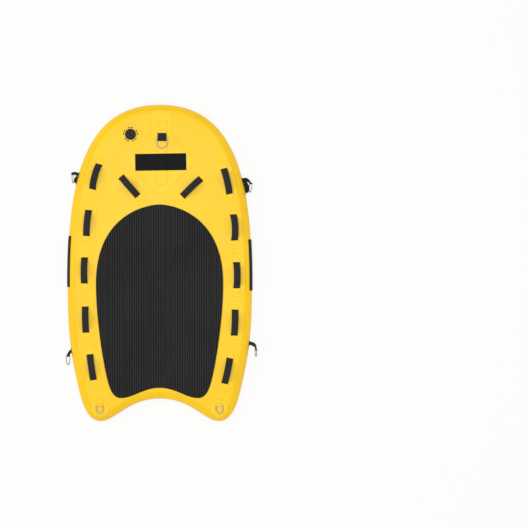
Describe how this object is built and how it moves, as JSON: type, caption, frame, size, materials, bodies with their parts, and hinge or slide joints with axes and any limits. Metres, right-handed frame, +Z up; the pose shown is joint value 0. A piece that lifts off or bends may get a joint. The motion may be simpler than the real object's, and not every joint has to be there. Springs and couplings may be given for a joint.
{
  "type": "inflatable rescue sled",
  "caption": "Inflatable drop-stitch rescue sled with a round bow and notched stern, ribbed deck pad, webbing handles, metal tow rings, black base sheets and an inflation valve.",
  "frame": {"origin": "on the underside's flat face, below the middle of the hull's length and width", "axes": "+Z up from the underside to the deck, +Y to the nose, +X to starboard"},
  "size_m": [1.0887, 1.7998, 0.1336],
  "materials": {
    "yellow_fabric": "satin coated",
    "yellow_band": "satin coated",
    "yellow_patch": "satin coated",
    "inner_fabric": "matte woven",
    "pad_foam": "matte",
    "skid_sheet": "satin ribbed",
    "base_fabric": "coated weave",
    "black_webbing": "matte woven",
    "black_plate": "matte",
    "stainless": "polished",
    "valve_plastic": "satin",
    "rubber": "matte"
  },
  "bodies": {
    "hull": {"base_skin": "yellow_fabric", "bow_patch": "yellow_patch", "bow_webbing": "black_webbing", "deck_pad": "pad_foam", "deck_skin": "yellow_fabric", "drop_stitch_core": "inner_fabric", "handle_patch_bow_port": "yellow_patch", "handle_patch_bow_starboard": "yellow_patch", "handle_patch_port_1": "yellow_patch", "handle_patch_port_2": "yellow_patch", "handle_patch_port_3": "yellow_patch", "handle_patch_port_4": "yellow_patch", "handle_patch_port_5": "yellow_patch", "handle_patch_starboard_1": "yellow_patch", "handle_patch_starboard_2": "yellow_patch", "handle_patch_starboard_3": "yellow_patch", "handle_patch_starboard_4": "yellow_patch", "handle_patch_starboard_5": "yellow_patch", "handle_strap_bow_port": "black_webbing", "handle_strap_bow_starboard": "black_webbing", "handle_strap_port_1": "black_webbing", "handle_strap_port_2": "black_webbing", "handle_strap_port_3": "black_webbing", "handle_strap_port_4": "black_webbing", "handle_strap_port_5": "black_webbing", "handle_strap_starboard_1": "black_webbing", "handle_strap_starboard_2": "black_webbing", "handle_strap_starboard_3": "black_webbing", "handle_strap_starboard_4": "black_webbing", "handle_strap_starboard_5": "black_webbing", "name_plate": "black_plate", "nose_skid_sheet": "skid_sheet", "rail_band_port": "yellow_band", "rail_band_starboard": "yellow_band", "side_panel_port": "black_plate", "side_panel_starboard": "black_plate", "side_ring_tab_aft_port": "black_webbing", "side_ring_tab_aft_starboard": "black_webbing", "side_ring_tab_fore_port": "black_webbing", "side_ring_tab_fore_starboard": "black_webbing", "tail_base_sheet": "base_fabric", "tail_ring_patch_port": "yellow_patch", "tail_ring_patch_starboard": "yellow_patch", "tail_ring_strap_port": "yellow_patch", "tail_ring_strap_starboard": "yellow_patch", "valve_body": "valve_plastic", "valve_gasket": "rubber", "valve_nut": "valve_plastic", "valve_patch": "yellow_patch", "valve_spring": "stainless"},
    "bow_ring": {"bow_ring": "stainless"},
    "tail_ring_port": {"tail_ring_port": "stainless"},
    "tail_ring_starboard": {"tail_ring_starboard": "stainless"},
    "side_ring_fore_port": {"side_ring_fore_port": "stainless"},
    "side_ring_fore_starboard": {"side_ring_fore_starboard": "stainless"},
    "side_ring_aft_port": {"side_ring_aft_port": "stainless"},
    "side_ring_aft_starboard": {"side_ring_aft_starboard": "stainless"},
    "seal": {"cap_seal": "rubber"},
    "cap": {"valve_cap": "valve_plastic"},
    "plunger": {"valve_plunger": "valve_plastic"}
  },
  "joints": [
    {"name": "bow_ring_swing", "type": "hinge", "parent": "hull", "child": "bow_ring", "pos_m": [0.014, 0.71, 0.1066], "axis": [-1, 0, 0], "range_deg": [0, 175]},
    {"name": "tail_ring_port_swing", "type": "hinge", "parent": "hull", "child": "tail_ring_port", "pos_m": [-0.339, -0.809, 0.1054], "axis": [-1, 0, 0], "range_deg": [0, 175]},
    {"name": "tail_ring_starboard_swing", "type": "hinge", "parent": "hull", "child": "tail_ring_starboard", "pos_m": [0.338, -0.809, 0.1054], "axis": [-0.9903, -0.1392, 0], "range_deg": [0, 175]},
    {"name": "side_ring_fore_port_swing", "type": "hinge", "parent": "hull", "child": "side_ring_fore_port", "pos_m": [-0.4955, 0.505, 0.0508], "axis": [0.2069, 0.0145, -0.9783], "range_deg": [-5, 170]},
    {"name": "side_ring_fore_starboard_swing", "type": "hinge", "parent": "hull", "child": "side_ring_fore_starboard", "pos_m": [0.518, 0.453, 0.0508], "axis": [0.3382, -0.0372, 0.9404], "range_deg": [-5, 170]},
    {"name": "side_ring_aft_port_swing", "type": "hinge", "parent": "hull", "child": "side_ring_aft_port", "pos_m": [-0.5225, -0.528, 0.0508], "axis": [0.3906, 0.0078, -0.9205], "range_deg": [-25, 165]},
    {"name": "side_ring_aft_starboard_swing", "type": "hinge", "parent": "hull", "child": "side_ring_aft_starboard", "pos_m": [0.5465, -0.4865, 0.0508], "axis": [0.2093, -0.5024, 0.8389], "range_deg": [-50, 170]},
    {"name": "valve_cap_turn", "type": "hinge", "parent": "hull", "child": "seal", "pos_m": [-0.165, 0.731, 0.1096], "axis": [0, 0, 1], "range_deg": [0, 90]},
    {"name": "valve_cap_lift", "type": "slide", "parent": "seal", "child": "cap", "axis": [0, 0, 1], "range_m": [0, 0.03]},
    {"name": "valve_plunger_press", "type": "slide", "parent": "hull", "child": "plunger", "axis": [0, 0, -1], "range_m": [0, 0.0045], "stiffness_N_per_m": 400, "springref_m": -0.003, "deforming": ["valve_spring"]}
  ]
}
